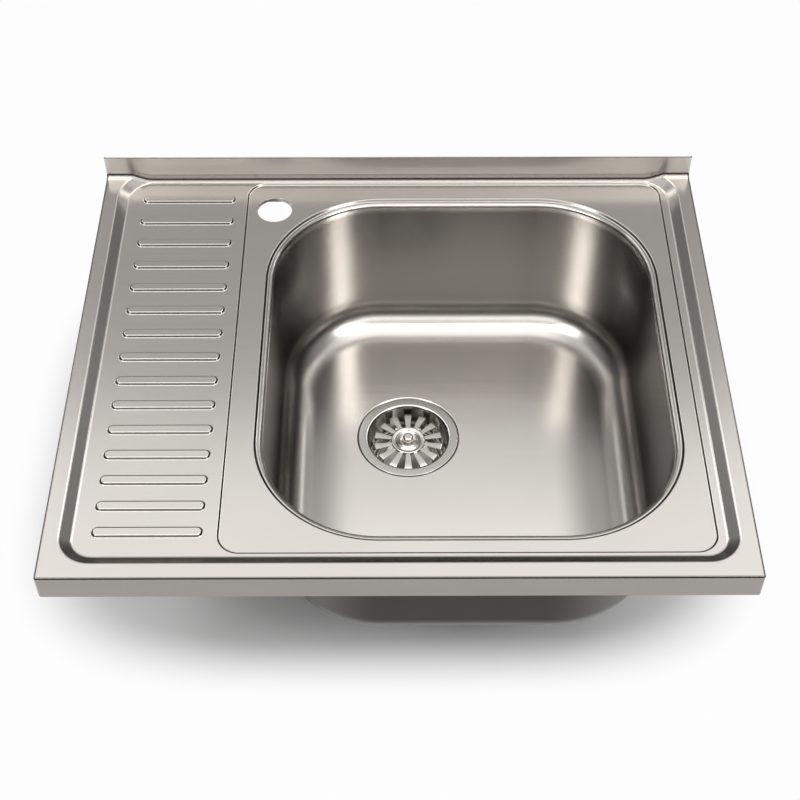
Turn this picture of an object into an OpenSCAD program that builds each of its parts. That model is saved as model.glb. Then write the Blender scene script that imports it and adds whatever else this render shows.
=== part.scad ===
// Lay-on kitchen sink with a drainer, one bowl and a basket strainer waste.
// The origin is the middle of the footprint in the plane that rests on the
// cabinet. +X is to the right, +Y to the wall and +Z up.

/* [Deck] */
// Width of the sink, left to right
sink_w = 600; // [580:10:800]
// Depth of the sink, front to wall
sink_d = 500; // [490:5:600]
// Thickness of the steel sheet
sheet_t = 0.8; // [0.6:0.1:1.0]
// Height of the skirt, from the cabinet to the border
skirt_h = 27; // [24:1:40]
// Width of the folded lip that rests on the cabinet
lip_w = 12; // [8:1:14]
// Outer radius of the fold between the border and the skirt
fold_r = 1.6; // [1.2:0.1:2.4]
// Height of the upstand above the border
upstand_h = 23.5; // [15:0.5:60]
// Width of the flat border at both sides
side_border = 13.5; // [10:0.5:18]
// Width of the flat border at the front
front_border = 14.5; // [10:0.5:18]

/* [Recess] */
// How far the drainer lies below the border
step_drop = 6.5; // [5.5:0.5:8]
// Width of the step down from the border
step_run = 12.5; // [11:0.5:14]
// Radius of the step's upper edge
step_top_r = 4; // [2:0.5:5]
// Radius of the step's foot
step_foot_r = 5; // [2:0.5:6]
// Corner radius of the recess in plan, at the front
recess_front_r = 30; // [24:1:45]
// Corner radius of the recess in plan, at the wall
recess_back_r = 40; // [24:1:50]
// How much of the step is lost behind the upstand
step_hidden = 8.5; // [8:0.5:11]

/* [Drainer] */
// Width of the drainer's floor, from the step to the bowl's platform
drainer_w = 119.5; // [115:0.5:125]
// Least distance from a rib's centre to the wall
rib_last = 31; // [12:1:120]
// Length of a rib
rib_l = 94.5; // [60:0.5:100]
// Width of a rib at its foot
rib_w = 11.5; // [8:0.5:14]
// Width of a rib's sloped flank
rib_flank = 1.2; // [0.8:0.1:2]
// Height of a rib
rib_h = 1.8; // [1:0.1:2.5]
// Distance from the front edge to the first rib's centre
rib_first = 51.3; // [48:0.1:60]
// Distance between the first two ribs
rib_pitch = 27.5; // [20:0.1:28]
// Growth of the pitch from each rib to the next
rib_growth = 0.35; // [0:0.05:0.35]
// Distance of the ribs' middle from the drainer's middle
rib_shift = 1.5; // [-4:0.5:4]

/* [Platform] */
// How far the bowl's platform lies below the drainer
platform_drop = 1.5; // [1:0.1:2]
// Corner radius of the platform in plan
platform_r = 20; // [12:1:26]
// Edge radii of the platform's small step
platform_fold_r = 1.2; // [1:0.1:1.6]
// Slope of the platform's small step
platform_slope = 40; // [30:1:60]
// Gap between the recess's step and the platform, at the right
right_ledge = 5; // [3:0.5:8]
// Gap between the recess's step and the platform, at the front
front_ledge = 2; // [1.5:0.5:6]
// Gap between the upstand and the platform
back_ledge = 4.5; // [3:0.5:8]

/* [Bowl] */
// Gap from the platform's edge to the bowl's wall, at the left
left_margin = 32.5; // [28:0.5:40]
// Gap from the platform's edge to the bowl's wall, at the right
right_margin = 23.5; // [20:0.5:30]
// Gap from the platform's edge to the bowl's wall, at the front
front_margin = 22; // [18:0.5:30]
// Gap from the platform's edge to the bowl's wall, at the back
back_margin = 31; // [28:0.5:40]
// Depth of the bowl, from the platform to its floor
bowl_depth = 170; // [120:1:200]
// Corner radius of the bowl in plan, at its rim
bowl_corner_r = 105; // [90:1:120]
// Radius of the bowl's rim
rim_r = 3.5; // [2:0.5:4]
// Radius between the bowl's walls and its floor
bottom_r = 34; // [25:1:45]
// Lean of the bowl's walls
draft = 1; // [1:0.5:5]
// How far the shoulder round the bowl lies below the platform
shoulder_drop = 2; // [1.5:0.1:2.5]
// Distance from the shoulder's edge to the bowl's wall
shoulder_out = 8; // [7.5:0.1:10]
// Edge radii of the shoulder
shoulder_r = 1.2; // [1:0.1:1.6]
// Width of the bowl's flange that is welded under the shoulder
weld_flange = 3.5; // [2.5:0.1:4]

/* [Tap hole] */
// Diameter of the tap hole
tap_d = 35; // [32:0.5:36]
// Distance from the platform's left edge to the tap hole
tap_from_left = 29; // [28:0.5:34]
// Distance from the platform's back edge to the tap hole
tap_from_back = 39.5; // [34:0.5:42]
// Width of the ring that stiffens the tap hole
tap_ring_w = 7.5; // [5:0.5:8]
// Thickness of the ring that stiffens the tap hole
tap_ring_t = 2.5; // [1.5:0.5:4]

/* [Underside] */
// Length of the corner brackets' sides
bracket_l = 46; // [42:1:60]
// Thickness of the corner brackets
bracket_t = 1.5; // [1:0.5:3]
// Diameter of the screw holes in the corner brackets
screw_hole_d = 5.2; // [4:0.1:6]
// Distance from the sink's edges to the screw holes
screw_inset = 18.5; // [17:0.5:20]
// Width of the channel that stiffens the drainer
channel_w = 24; // [16:1:40]
// Height of the channel that stiffens the drainer
channel_h = 12; // [8:1:16]
// Width of the channel's glued flanges
channel_flange = 10; // [6:1:14]
// Thickness of the channel
channel_t = 1; // [0.8:0.1:1.5]
// Gap from the channel's ends to the sink's front and wall edges
channel_gap = 50; // [30:1:80]
// Thickness of the damping pad under the bowl
pad_t = 2; // [1:0.5:4]
// Gap from the damping pad to the bowl's bottom radius
pad_gap = 8; // [4:1:20]

/* [Waste] */
// Distance from the bowl's left wall to the waste
waste_from_left = 131.7; // [128:0.1:184]
// Distance from the bowl's back wall to the waste
waste_from_back = 167; // [128:1:206]
// Radius of the bowl's seat for the waste
seat_r = 53.5; // [52:0.5:60]
// Depth of the bowl's seat for the waste
seat_drop = 2.6; // [2.4:0.1:3.2]
// Edge radii of the bowl's seat for the waste
seat_fold_r = 1.5; // [1.2:0.1:1.8]
// Radius of the bowl's hole for the waste
hole_r = 45; // [44.5:0.5:46]
// Gap between the waste's rim and the edge of its seat
flange_gap = 2; // [1.5:0.5:3]
// Thickness of the waste's steel
cup_t = 1; // [0.8:0.1:1.2]
// Thickness of the gasket under the waste's rim
upper_gasket_t = 1.2; // [1:0.1:1.4]
// Inner radius of the waste's cup
cup_r = 41; // [40:0.5:41.5]
// Radius of the edge between the waste's rim and its cup
cup_edge_r = 2.5; // [1.5:0.5:3]
// Depth of the ledge that carries the basket
ledge_depth = 33; // [30:1:36]
// Inner radius of the cup below the ledge
lower_cup_r = 34.5; // [33:0.5:35]
// Depth of the cup's floor
cup_depth = 42; // [40:1:46]
// Radius of the well in the cup's floor
well_r = 10; // [9:0.5:11]
// Depth of the well below the cup's floor
well_depth = 8; // [7:0.5:10]
// Number of slots in the cup's floor
slot_count = 8; // [4:1:10]
// Width of a slot in the cup's floor
slot_w = 5; // [3:0.5:6]
// Radius at which the slots start
slot_in_r = 12.5; // [12:0.5:14]
// Radius at which the slots end
slot_out_r = 22.5; // [18:0.5:23]

/* [Waste body] */
// Thickness of the gasket under the bowl
lower_gasket_t = 2.5; // [2:0.5:4]
// Outer radius of the waste body's flange
body_flange_r = 56; // [54:0.5:60]
// Thickness of the waste body's flange
body_flange_t = 3; // [2:0.5:4]
// Gap between the steel cup and the waste body
body_gap = 1.2; // [0.8:0.1:1.4]
// Wall of the waste body
body_wall = 3.5; // [2.5:0.5:4]
// Outer radius of the threaded outlet, a G 1 1/2 thread
outlet_r = 23.9; // [20.9:0.1:23.9]
// Wall of the outlet
outlet_wall = 3.9; // [3:0.1:5]
// Length of the outlet
outlet_l = 22; // [16:1:40]
// Height of the funnel above the outlet
funnel_h = 13; // [11:1:20]
// Height of the funnel's upper edge above the underside of the cup's well
funnel_rise = 4; // [2:1:8]
// Width of the arms that hold the screw's hub
arm_w = 4; // [3:0.5:6]
// Height of the arms that hold the screw's hub
arm_h = 6; // [4:1:6]
// Height of the screw's hub
hub_h = 8; // [6:1:9]
// Gap between the cup's well and the screw's hub
hub_gap = 1; // [0.5:0.5:3]
// Radius of the screw's hub
hub_r = 8.5; // [8:0.5:10]
// Radius of the brass insert
insert_r = 5; // [4.5:0.5:6]
// Radius of the centre screw's shank
shank_r = 3; // [2.5:0.5:3.5]
// Radius of the centre screw's head
screw_head_r = 7.5; // [6.5:0.5:8]
// Height of the centre screw's head
screw_head_h = 7.4; // [6:0.2:7.4]
// Radius of the socket in the screw's head
socket_r = 4; // [3.6:0.1:4.5]
// Depth of the socket in the screw's head
socket_depth = 6.2; // [5:0.2:6.2]
// Clearance of the shank in its hub and the cup
shank_clearance = 0.05; // [0.02:0.01:0.1]

/* [Basket] */
// Depth of the basket's fins below the bowl's floor
fin_depth = 7; // [5:0.5:9]
// Thickness of the fins
fin_t = 1.2; // [1:0.1:2]
// Number of fins
fin_count = 14; // [8:1:16]
// Width of a fin at the hub
fin_in_w = 3.8; // [2:0.1:5]
// Width of a fin at its end
fin_out_w = 8; // [5:0.1:9]
// Radius of the circle round the fins' ends
fin_r = 37.3; // [36.5:0.1:38]
// Thickness of the legs below the fins
leg_t = 1.2; // [1:0.1:2]
// Width of the legs below the fins
leg_w = 6; // [4:0.5:6.5]
// Width of the basket's foot ring
foot_ring_w = 3.6; // [3:0.1:4]
// Height of the basket's foot ring
foot_ring_h = 2.5; // [1.5:0.5:4]
// Gap between the foot ring and the cup's wall
foot_ring_gap = 1.6; // [1:0.1:2]
// Radius of the basket's hub
basket_hub_r = 17.5; // [15:0.5:19]
// Height of the hub above the fins
basket_hub_h = 1.6; // [1:0.1:2.5]
// Radius of the guide tube under the hub
guide_r = 5.5; // [4.5:0.5:6.5]
// Radius of the stem
stem_r = 3; // [2.5:0.5:3.5]
// Running clearance of the stem in the guide
stem_clearance = 0.08; // [0.03:0.01:0.1]
// Travel of the stopper
stopper_travel = 7; // [4:0.5:9]
// Gap between the basket's moving pieces and their seats
seat_gap = 0.3; // [0.2:0.1:0.5]
// Radius of the knob
knob_r = 5.7; // [5:0.1:7]
// Height of the knob
knob_h = 5.5; // [5:0.5:9]
// Height of the knob's neck and of the band above it
knob_band_h = 1.6; // [1:0.1:2]
// Radius of the knob's neck
knob_neck_r = 4.3; // [4:0.1:5]
// Radius of the knob's flat top
knob_top_r = 3.2; // [2:0.1:4]
// Radius of the rubber plug
plug_r = 27; // [25:0.5:28]
// Height of the plug's lip
plug_lip_h = 4.5; // [4:0.1:5]
// Thickness of the plug's web
plug_web_t = 2; // [1.5:0.1:2.4]
// Width of the plug's lip
plug_lip_w = 3; // [2:0.5:4]
// Radius of the steel disc on the plug
disc_r = 25.5; // [20:0.5:27]
// Thickness of the steel disc on the plug
disc_t = 1; // [0.6:0.1:1.5]
// Size of the nut under the plug, across its corners
nut_d = 11; // [10:0.5:14]
// Height of the nut under the plug
nut_h = 2.2; // [1.5:0.1:2.4]
// Length of the stem's nylon foot
foot_l = 5.5; // [4:0.5:6]
// Clearance of the stem's foot in the screw's socket
foot_clearance = 0.3; // [0.2:0.05:0.4]

/* [Hidden] */

$fn = 64;
arc_steps = 5;
bottom_steps = 9;
over = 1;

// Levels
border_z = skirt_h;
drainer_z = border_z - step_drop;
platform_z = drainer_z - platform_drop;
shoulder_z = platform_z - shoulder_drop;
flange_z = shoulder_z - sheet_t;
floor_z = platform_z - bowl_depth;

// Outline of the sink
left_x = -sink_w / 2;
right_x = sink_w / 2;
front_y = -sink_d / 2;
back_y = sink_d / 2;
upstand_t = 2 * sheet_t;
upstand_y = back_y - upstand_t;

// Outline of the recess, at the step's upper edge
recess = [left_x + side_border, right_x - side_border,
    front_y + front_border, upstand_y + step_hidden];

// Outline of the platform, at its upper edge
platform = [recess[0] + step_run + drainer_w, recess[1] - step_run - right_ledge,
    recess[2] + step_run + front_ledge, upstand_y - back_ledge];

// Outline of the bowl's walls at the rim
bowl_line = [platform[0] + left_margin, platform[1] - right_margin,
    platform[2] + front_margin, platform[3] - back_margin];

// Outline of the shoulder and of the opening in the deck
ledge_end = rim_r + sheet_t / 4;
shoulder = grown(bowl_line, shoulder_out);
opening = grown(bowl_line, ledge_end);
bowl_flange = grown(bowl_line, rim_r + weld_flange);
wall_angle = 90 - draft;
bowl_run = weld_flange
    + fold_run(flange_z - floor_z, rim_r, bottom_r, wall_angle);

// Places of the ribs' centres, from the front edge
function rib_place(i) = rib_first + i * rib_pitch + i * (i - 1) / 2 * rib_growth;
rib_places = [for (i = 0; rib_place(i) <= sink_d - rib_last; i = i + 1) rib_place(i)];

// Middle of the ribs, the tap hole and the waste
rib_x = recess[0] + step_run + drainer_w / 2 + rib_shift;
tap_x = platform[0] + tap_from_left;
tap_y = platform[3] - tap_from_back;
waste_x = bowl_line[0] + waste_from_left;
waste_y = bowl_line[3] - waste_from_back;

// Levels of the waste
seat_z = floor_z - seat_drop;
rim_z = seat_z + upper_gasket_t + cup_t;
seat_slope = 60;
seat_flat_r = seat_r - fold_run(seat_drop, seat_fold_r, seat_fold_r, seat_slope);
body_top_z = seat_z - sheet_t - lower_gasket_t;
ledge_z = floor_z - ledge_depth;
cup_floor_z = floor_z - cup_depth;
well_z = cup_floor_z - well_depth;
body_in_r = cup_r + cup_t + body_gap;
body_out_r = body_in_r + body_wall;
hub_top_z = well_z - cup_t - hub_gap;
funnel_z = well_z - cup_t + funnel_rise;
outlet_top_z = funnel_z - funnel_h;
outlet_end_z = outlet_top_z - outlet_l;
outlet_in_r = outlet_r - outlet_wall;

// Levels of the basket at rest, with its stopper closed
fin_z = floor_z - fin_depth;
hub_z = fin_z + basket_hub_h;
foot_z = ledge_z + seat_gap;
foot_ring_r = cup_r - foot_ring_gap;
plug_z = cup_floor_z + seat_gap;
plug_top_z = plug_z + plug_lip_h;
disc_top_z = plug_top_z + disc_t;
guide_z = disc_top_z + stopper_travel + seat_gap;
nut_top_z = plug_top_z - plug_web_t;
stem_end_z = nut_top_z - nut_h;
knob_z = hub_z + seat_gap;
stem_top_z = knob_z + knob_h / 2;

steel = "silver";
dark_steel = "gray";
rubber = "dimgray";
plastic = "white";

// An outline [left, right, front, back], grown by an amount on each side
function grown(b, by) = [b[0] - by, b[1] + by, b[2] - by, b[3] + by];

// Width that a step with two edge radii takes at a given slope
function fold_run(drop, r1, r2, slope) =
    (r1 + r2) * sin(slope) + (drop - (r1 + r2) * (1 - cos(slope))) / tan(slope);

// Slope at which a step with two edge radii takes a given width
function fold_slope(drop, run, r1, r2) =
    let (r = r1 + r2)
    asin(r / sqrt(run * run + (r - drop) * (r - drop))) - atan2(r - drop, run);

// Points [inward, height] of a step: an upper edge of radius r1, a sloped
// wall and a foot of radius r2. The sheet's underside has by = thickness.
function fold(start, z, drop, r1, r2, slope, by, steps1 = arc_steps, steps2 = arc_steps) =
    let (run = fold_run(drop, r1, r2, slope))
    concat(
        [for (i = [0:steps1]) let (a = slope * i / steps1)
            [start + (r1 - by) * sin(a), z - r1 + (r1 - by) * cos(a)]],
        [for (i = [0:steps2]) let (a = slope * (1 - i / steps2))
            [start + run - (r2 + by) * sin(a), z - drop + r2 - (r2 + by) * cos(a)]]);

// The step's points as a section that is open upwards and closed at the axis
function section(r, points, top) = concat(
    [[r - points[0][0], top]],
    [for (p = points) [r - p[0], p[1]]],
    [[0, points[len(points) - 1][1]], [0, top]]);

// A section swept along one side, outwards in the direction of the angle
module swept_side(x, y, angle, length, r, points, top) {
    translate([x, y, 0]) rotate([90, 0, angle])
        linear_extrude(length) polygon(section(r, points, top));
}

// A section swept round one corner's axis
module swept_corner(x, y, r, points, top) {
    translate([x, y, 0]) rotate_extrude() polygon(section(r, points, top));
}

// The space above a pressed dish: an outline [left, right, front, back] with
// corner radii r1 at the front and r2 at the back
module dish(b, r1, r2, points, top) {
    w1 = b[1] - b[0] - 2 * r1;
    w2 = b[1] - b[0] - 2 * r2;
    d = b[3] - b[2] - r1 - r2;
    z = points[len(points) - 1][1];
    translate([b[0] + r1 - over, b[2] + r1 - over, z])
        cube([w1 + 2 * over, d + 2 * over, top - z]);
    swept_side(b[1] - r1, b[2] + r1, -90, w1, r1, points, top);
    swept_side(b[1] - r1, b[3] - r2, 0, d, r1, points, top);
    swept_side(b[0] + r2, b[3] - r2, 90, w2, r2, points, top);
    swept_side(b[0] + r1, b[2] + r1, 180, d, r1, points, top);
    for (x = [b[0] + r1, b[1] - r1]) swept_corner(x, b[2] + r1, r1, points, top);
    for (x = [b[0] + r2, b[1] - r2]) swept_corner(x, b[3] - r2, r2, points, top);
}

// A plate with rounded corners over an outline [left, right, front, back]
module rounded_plate(b, r, z, h) {
    translate([b[0] + r, b[2], z]) cube([b[1] - b[0] - 2 * r, b[3] - b[2], h]);
    translate([b[0], b[2] + r, z]) cube([b[1] - b[0], b[3] - b[2] - 2 * r, h]);
    for (x = [b[0] + r, b[1] - r], y = [b[2] + r, b[3] - r])
        translate([x, y, z]) cylinder(h = h, r = r);
}

// Section of the border: rounded folds at both sides of a plain block
module border_block(by, bottom) {
    r = fold_r - by;
    intersection() {
        translate([left_x + by, 0, 0]) rotate([90, 0, 90])
            linear_extrude(sink_w - 2 * by) union() {
                translate([front_y + by, bottom])
                    square([sink_d - 2 * by, border_z - fold_r - bottom]);
                translate([front_y + fold_r, bottom])
                    square([sink_d - fold_r - by, border_z - by - bottom]);
                translate([front_y + fold_r, border_z - fold_r]) circle(r);
            }
        translate([0, back_y - by, 0]) rotate([90, 0, 0])
            linear_extrude(sink_d - 2 * by) union() {
                translate([left_x + by, bottom])
                    square([sink_w - 2 * by, border_z - fold_r - bottom]);
                translate([left_x + fold_r, bottom])
                    square([sink_w - 2 * fold_r, border_z - by - bottom]);
                for (side = [-1, 1])
                    translate([side * (right_x - fold_r), border_z - fold_r]) circle(r);
            }
    }
}

// One rib, raised above the drainer and reaching down through the sheet
module rib(y, by) {
    foot = rib_w / 2 + rib_flank * sheet_t / rib_h - by;
    top = rib_w / 2 - rib_flank - by;
    h = rib_h + sheet_t;
    reach = rib_l / 2 - rib_w / 2;
    translate([rib_x, y, drainer_z - sheet_t - by]) {
        for (side = [-1, 1])
            translate([side * reach, 0, 0]) cylinder(h = h, r1 = foot, r2 = top);
        translate([-reach, 0, 0]) rotate([90, 0, 90])
            linear_extrude(2 * reach)
                polygon([[-foot, 0], [foot, 0], [top, h], [-top, h]]);
    }
}

// The deck's formed block: its top surface moved down by the given amount
module deck_form(by, bottom) {
    slope = fold_slope(step_drop, step_run, step_top_r, step_foot_r);
    difference() {
        border_block(by, bottom);
        dish(recess, recess_front_r, recess_back_r,
            fold(0, border_z, step_drop, step_top_r, step_foot_r, slope, by),
            border_z + over);
        dish(platform, platform_r, platform_r,
            fold(0, drainer_z, platform_drop, platform_fold_r, platform_fold_r,
                platform_slope, by),
            drainer_z + over);
        dish(shoulder, bowl_corner_r + shoulder_out, bowl_corner_r + shoulder_out,
            fold(0, platform_z, shoulder_drop, shoulder_r, shoulder_r,
                platform_slope, by),
            platform_z + over);
    }
    for (place = rib_places) rib(front_y + place, by);
}

// The pressed deck with its skirt, its lips and the foot of the upstand
module deck() {
    color(steel) {
        difference() {
            deck_form(0, 0);
            deck_form(sheet_t, sheet_t);
            translate([left_x + lip_w, front_y + lip_w, -over])
                cube([sink_w - 2 * lip_w, sink_d - 2 * lip_w, sheet_t + 2 * over]);
            rounded_plate(opening, bowl_corner_r + ledge_end, flange_z - over,
                sheet_t + shoulder_drop + 2 * over);
            translate([tap_x, tap_y, platform_z - sheet_t - over])
                cylinder(h = sheet_t + 2 * over, d = tap_d);
        }
        translate([left_x, upstand_y, drainer_z - sheet_t])
            cube([sink_w, upstand_t, step_drop + sheet_t]);
    }
}

// The upstand at the wall, the deck's own sheet folded back on itself
module upstand() {
    color(steel) translate([left_x, upstand_y, border_z])
        cube([sink_w, upstand_t, upstand_h]);
}

// The drawn bowl, with a seat for the waste in its floor
function bowl_points(by) = fold(weld_flange, flange_z, flange_z - floor_z,
    rim_r, bottom_r, wall_angle, by, arc_steps, bottom_steps);
module bowl_space(by, top) {
    r = bowl_corner_r + rim_r + weld_flange;
    dish(bowl_flange, r, r, concat([[0, flange_z - by]], bowl_points(by)), top);
    translate([waste_x, waste_y, 0]) rotate_extrude()
        polygon(section(seat_r,
            fold(0, floor_z, seat_drop, seat_fold_r, seat_fold_r, seat_slope, by, 3, 3),
            floor_z + bottom_r / 2));
}
module bowl() {
    color(steel) difference() {
        bowl_space(sheet_t, flange_z);
        bowl_space(0, flange_z + over);
        translate([waste_x, waste_y, seat_z - sheet_t - over])
            cylinder(h = sheet_t + 2 * over, r = hole_r);
    }
}

// The ring that stiffens the tap hole from below
module tap_ring() {
    color(dark_steel) translate([tap_x, tap_y, platform_z - sheet_t - tap_ring_t])
        difference() {
            cylinder(h = tap_ring_t, d = tap_d + 2 * tap_ring_w);
            translate([0, 0, -over]) cylinder(h = tap_ring_t + 2 * over, d = tap_d);
        }
}

// The channel glued under the drainer
module drainer_channel() {
    out = channel_w / 2 + channel_flange;
    in = channel_w / 2;
    color(dark_steel)
        translate([rib_x, front_y + channel_gap, drainer_z - sheet_t]) rotate([90, 0, 180])
            linear_extrude(sink_d - 2 * channel_gap)
                polygon([[-out, 0], [-in + channel_t, 0], [-in + channel_t, channel_t - channel_h],
                    [in - channel_t, channel_t - channel_h], [in - channel_t, 0], [out, 0],
                    [out, -channel_t], [in, -channel_t], [in, -channel_h], [-in, -channel_h],
                    [-in, -channel_t], [-out, -channel_t]]);
}

// The damping pad under the bowl's floor
module bowl_pad() {
    inset = bowl_run + pad_gap;
    color(rubber) difference() {
        rounded_plate(grown(bowl_flange, -inset), bowl_corner_r - inset,
            floor_z - sheet_t - pad_t, pad_t);
        translate([waste_x, waste_y, floor_z - sheet_t - pad_t - over])
            cylinder(h = pad_t + 2 * over, r = body_flange_r + pad_gap);
    }
}

// A bracket that lies on the lips in one corner, with a hole for a screw
module bracket(side_x, side_y) {
    near = sheet_t + seat_gap;
    color(dark_steel)
        translate([side_x * right_x, side_y * back_y, sheet_t])
            difference() {
                linear_extrude(bracket_t)
                    polygon([[-side_x * near, -side_y * near],
                        [-side_x * bracket_l, -side_y * near],
                        [-side_x * near, -side_y * bracket_l]]);
                translate([-side_x * screw_inset, -side_y * screw_inset, -over])
                    cylinder(h = bracket_t + 2 * over, d = screw_hole_d);
            }
}

// The steel rim and cup of the waste
module waste_flange() {
    t = cup_t;
    r = cup_r;
    e = cup_edge_r;
    slope = 90;
    edge = [for (i = [0:arc_steps]) let (a = slope * i / arc_steps)
        [r + e - e * sin(a), rim_z - e + e * cos(a)]];
    edge_back = [for (i = [arc_steps:-1:0]) let (a = slope * i / arc_steps)
        [r + e - (e - t) * sin(a), rim_z - e + (e - t) * cos(a)]];
    color(steel) translate([waste_x, waste_y, 0]) difference() {
        rotate_extrude() polygon(concat(
            [[seat_r - flange_gap, rim_z - t], [seat_r - flange_gap, rim_z]], edge,
            [[r, ledge_z], [lower_cup_r, ledge_z], [lower_cup_r, cup_floor_z],
                [well_r, cup_floor_z], [well_r, well_z],
                [shank_r + shank_clearance, well_z],
                [shank_r + shank_clearance, well_z - t],
                [well_r + t, well_z - t], [well_r + t, cup_floor_z - t],
                [lower_cup_r + t, cup_floor_z - t], [lower_cup_r + t, ledge_z - t],
                [r + t, ledge_z - t]],
            edge_back));
        for (i = [0:slot_count - 1]) rotate([0, 0, i * 360 / slot_count])
            translate([slot_in_r, -slot_w / 2, cup_floor_z - t - over])
                cube([slot_out_r - slot_in_r, slot_w, t + 2 * over]);
    }
}

// A flat ring round the waste's axis
module waste_ring(inner, outer, z, h) {
    translate([waste_x, waste_y, z]) difference() {
        cylinder(h = h, r = outer);
        translate([0, 0, -over]) cylinder(h = h + 2 * over, r = inner);
    }
}

// The gasket between the waste's rim and the bowl
module flange_gasket() {
    color(rubber) waste_ring(hole_r + seat_gap, seat_flat_r - seat_gap, seat_z, upper_gasket_t);
}

// The gasket between the bowl and the waste body
module body_gasket() {
    color(rubber) waste_ring(hole_r + seat_gap, seat_flat_r - seat_gap, body_top_z, lower_gasket_t);
}

// The plastic body of the waste, with the outlet and the screw's hub
module waste_body() {
    color(plastic) {
        translate([waste_x, waste_y, 0]) rotate_extrude() polygon([
            [body_in_r, body_top_z], [body_flange_r, body_top_z],
            [body_flange_r, body_top_z - body_flange_t],
            [body_out_r, body_top_z - body_flange_t],
            [body_out_r, funnel_z - body_wall / 2],
            [outlet_r, outlet_top_z - body_wall / 2],
            [outlet_r, outlet_end_z], [outlet_in_r, outlet_end_z],
            [outlet_in_r, outlet_top_z], [body_in_r, funnel_z]]);
        difference() {
            translate([waste_x, waste_y, hub_top_z - hub_h]) {
                cylinder(h = hub_h, r = hub_r);
                for (i = [0:2]) rotate([0, 0, i * 120])
                    translate([0, -arm_w / 2, 0])
                        cube([outlet_r + outlet_wall / 2, arm_w, arm_h]);
            }
            translate([waste_x, waste_y, hub_top_z - hub_h - over])
                cylinder(h = hub_h + 2 * over, r = insert_r);
        }
    }
}

// The brass insert that takes the centre screw
module thread_insert() {
    color("gold") waste_ring(shank_r + shank_clearance, insert_r, hub_top_z - hub_h, hub_h);
}

// The centre screw, with a socket for the basket's foot
module centre_screw() {
    color(steel) translate([waste_x, waste_y, 0]) difference() {
        union() {
            translate([0, 0, well_z]) cylinder(h = screw_head_h, r = screw_head_r);
            translate([0, 0, hub_top_z - hub_h])
                cylinder(h = well_z - hub_top_z + hub_h, r = shank_r);
        }
        translate([0, 0, well_z + screw_head_h - socket_depth])
            cylinder(h = socket_depth + over, r = socket_r);
    }
}

// The basket: a hub with fins, legs down from their ends and a foot ring
module strainer_basket() {
    color(steel) translate([waste_x, waste_y, 0]) {
        difference() {
            union() {
                translate([0, 0, fin_z - fin_t])
                    cylinder(h = fin_t + basket_hub_h, r = basket_hub_r);
                translate([0, 0, guide_z]) cylinder(h = fin_z - guide_z, r = guide_r);
                for (i = [0:fin_count - 1]) rotate([0, 0, (i + 0.5) * 360 / fin_count]) {
                    translate([0, 0, fin_z - fin_t]) linear_extrude(fin_t)
                        polygon([[basket_hub_r - over, -fin_in_w / 2], [fin_r, -fin_out_w / 2],
                            [fin_r, fin_out_w / 2], [basket_hub_r - over, fin_in_w / 2]]);
                    translate([fin_r - leg_t, -leg_w / 2, foot_z])
                        cube([leg_t, leg_w, fin_z - foot_z]);
                }
            }
            translate([0, 0, guide_z - over])
                cylinder(h = hub_z - guide_z + 2 * over, r = stem_r + stem_clearance);
        }
        translate([0, 0, foot_z]) difference() {
            cylinder(h = foot_ring_h, r = foot_ring_r);
            translate([0, 0, -over])
                cylinder(h = foot_ring_h + 2 * over, r = foot_ring_r - foot_ring_w);
        }
    }
}

// The knob on the stem: a short neck under a rounded head
module basket_knob() {
    band_top = 2 * knob_band_h;
    color(steel) translate([waste_x, waste_y, knob_z]) difference() {
        union() {
            cylinder(h = knob_band_h, r = knob_neck_r);
            translate([0, 0, knob_band_h]) cylinder(h = knob_band_h, r = knob_r);
            translate([0, 0, band_top])
                cylinder(h = knob_h - band_top, r1 = knob_r, r2 = knob_top_r);
        }
        translate([0, 0, -over])
            cylinder(h = knob_h / 2 + over, r = stem_r + shank_clearance);
    }
}

// The stem that joins the knob to the plug
module basket_stem() {
    color(steel) translate([waste_x, waste_y, stem_end_z])
        cylinder(h = stem_top_z - stem_end_z, r = stem_r);
}

// The nylon foot that finds the screw's socket
module stem_foot() {
    r = socket_r - foot_clearance;
    color(plastic) translate([waste_x, waste_y, stem_end_z - foot_l]) {
        translate([0, 0, foot_l / 3]) cylinder(h = foot_l * 2 / 3, r = r);
        cylinder(h = foot_l / 3, r1 = r / 2, r2 = r);
    }
}

// The rubber plug, a disc with a lip at its edge
module basket_plug() {
    color(rubber) translate([waste_x, waste_y, 0]) rotate_extrude() polygon([
        [stem_r + shank_clearance, nut_top_z], [plug_r - plug_lip_w, nut_top_z],
        [plug_r - plug_lip_w, plug_z], [plug_r, plug_z],
        [plug_r, plug_top_z], [stem_r + shank_clearance, plug_top_z]]);
}

// The steel disc on the plug
module plug_disc() {
    color(steel) waste_ring(stem_r + shank_clearance, disc_r, plug_top_z, disc_t);
}

// The nut under the plug
module plug_nut() {
    color(dark_steel) translate([waste_x, waste_y, stem_end_z]) difference() {
        cylinder(h = nut_h, d = nut_d, $fn = 6);
        translate([0, 0, -over]) cylinder(h = nut_h + 2 * over, r = stem_r + shank_clearance);
    }
}

deck();
upstand();
bowl();
tap_ring();
drainer_channel();
bowl_pad();
bracket(-1, -1);  // bracket_front_left
bracket(1, -1);  // bracket_front_right
bracket(-1, 1);  // bracket_rear_left
bracket(1, 1);  // bracket_rear_right
waste_flange();
flange_gasket();
body_gasket();
waste_body();
thread_insert();
centre_screw();
strainer_basket();
basket_knob();
basket_stem();
stem_foot();
basket_plug();
plug_disc();
plug_nut();
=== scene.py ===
"""A lay-on steel kitchen sink with a drainer, one bowl and a basket strainer
waste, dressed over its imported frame. The origin is the middle of the footprint
in the plane that rests on the cabinet, +Y is towards the wall, and lengths are
in metres."""

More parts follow.
